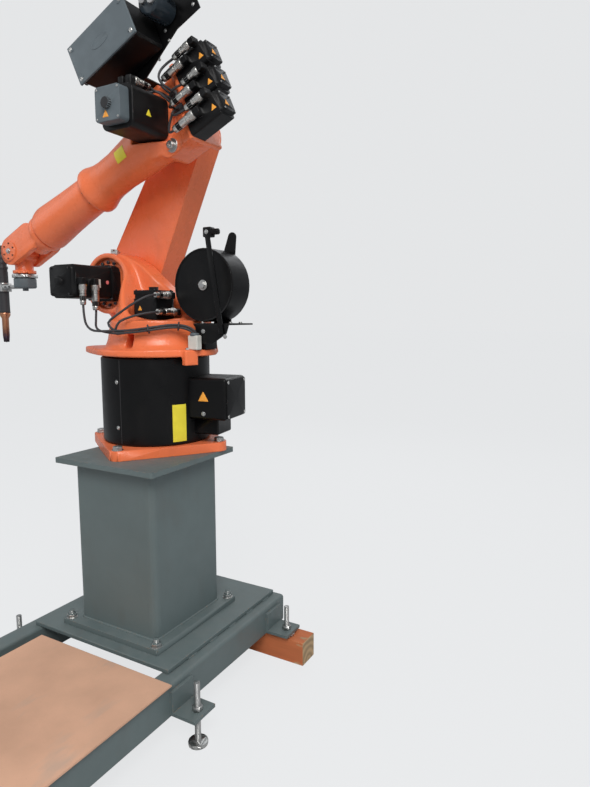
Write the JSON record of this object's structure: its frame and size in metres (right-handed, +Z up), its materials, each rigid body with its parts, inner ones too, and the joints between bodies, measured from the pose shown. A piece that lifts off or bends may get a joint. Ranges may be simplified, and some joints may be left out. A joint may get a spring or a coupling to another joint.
{
  "type": "industrial robot arm",
  "caption": "Six-axis welding robot arm, orange and black, on a grey-green pedestal and skid frame, with wire feeder, wire reel and torch.",
  "frame": {"origin": "centre of the rear timber's underside, on the floor and on the skid's centre line", "axes": "+Z up; +X the way the arm reaches over the side of the skid; +Y along the rails towards the front of the skid"},
  "size_m": [1.5964, 1.6058, 2.6493],
  "materials": {
    "orange_paint": "semi-gloss",
    "black_paint": "satin",
    "grey_green_paint": "satin",
    "grey_cover": "satin",
    "steel": "satin",
    "rubber": "matte",
    "copper": "worn, copper-coloured",
    "timber": "painted, worn",
    "peach_board": "matte painted board",
    "white_plastic": "matte"
  },
  "bodies": {
    "base": {"timber_bearer": "timber", "skid_rail_near": "grey_green_paint", "skid_rail_far": "grey_green_paint", "cross_member_rear": "grey_green_paint", "cross_member_front": "grey_green_paint", "deck_plate": "grey_green_paint", "deck_board": "peach_board", "jack_near_rear": "steel", "jack_near_front": "steel", "jack_far_rear": "steel", "jack_far_front": "steel", "pedestal_base_plate": "grey_green_paint", "pedestal_column": "grey_green_paint", "pedestal_top_plate": "grey_green_paint", "foot_flange": "orange_paint", "base_drum": "black_paint", "connection_box": "black_paint"},
    "column": {"column_casting": "orange_paint", "axis_1_motor": "black_paint", "axis_2_motor": "black_paint", "reel_bracket": "black_paint", "reel_drum": "black_paint", "wire_guide": "black_paint", "terminal_block": "white_plastic", "column_leads": "rubber"},
    "link": {"link_arm": "orange_paint", "link_foot_cap": "black_paint", "link_head_cap": "black_paint"},
    "arm": {"arm_housing": "orange_paint", "forearm_tube": "orange_paint", "axis_3_motor": "black_paint", "axis_3_motor_cover": "grey_cover", "wrist_motor_upper": "black_paint", "wrist_motor_middle": "black_paint", "wrist_motor_lower": "black_paint", "feeder_plate": "black_paint", "wire_feeder": "black_paint", "feeder_cover": "grey_cover", "feeder_drive": "grey_cover", "arm_leads": "rubber"},
    "wrist": {"wrist_body": "orange_paint"},
    "hand": {"hand_body": "orange_paint"},
    "tool": {"tool_flange": "steel", "tool_block": "grey_cover", "torch_bracket": "steel", "torch_body": "rubber", "torch_nozzle": "copper"}
  },
  "joints": [
    {"name": "axis_1", "type": "hinge", "parent": "base", "child": "column", "pos_m": [0.04, 0.22, 0.91], "axis": [0, 0, 1], "range_deg": [-185, 185]},
    {"name": "axis_2", "type": "hinge", "parent": "column", "child": "link", "pos_m": [0.3, 0.22, 1.585], "axis": [0, 1, 0], "range_deg": [-28, 70]},
    {"name": "axis_3", "type": "hinge", "parent": "link", "child": "arm", "pos_m": [-0.0305, 0.22, 2.17928], "axis": [0, -1, 0], "range_deg": [-10, 245]},
    {"name": "axis_4", "type": "hinge", "parent": "arm", "child": "wrist", "pos_m": [0.65467, 0.22, 1.8262], "axis": [0.9088, 0, -0.4172], "range_deg": [-350, 350]},
    {"name": "axis_5", "type": "hinge", "parent": "wrist", "child": "hand", "pos_m": [0.83643, 0.22, 1.74276], "axis": [0, 1, 0], "range_deg": [-100, 48]},
    {"name": "axis_6", "type": "hinge", "parent": "hand", "child": "tool", "pos_m": [0.83643, 0.22, 1.74276], "axis": [0, 0, -1], "range_deg": [-135, 135]}
  ]
}
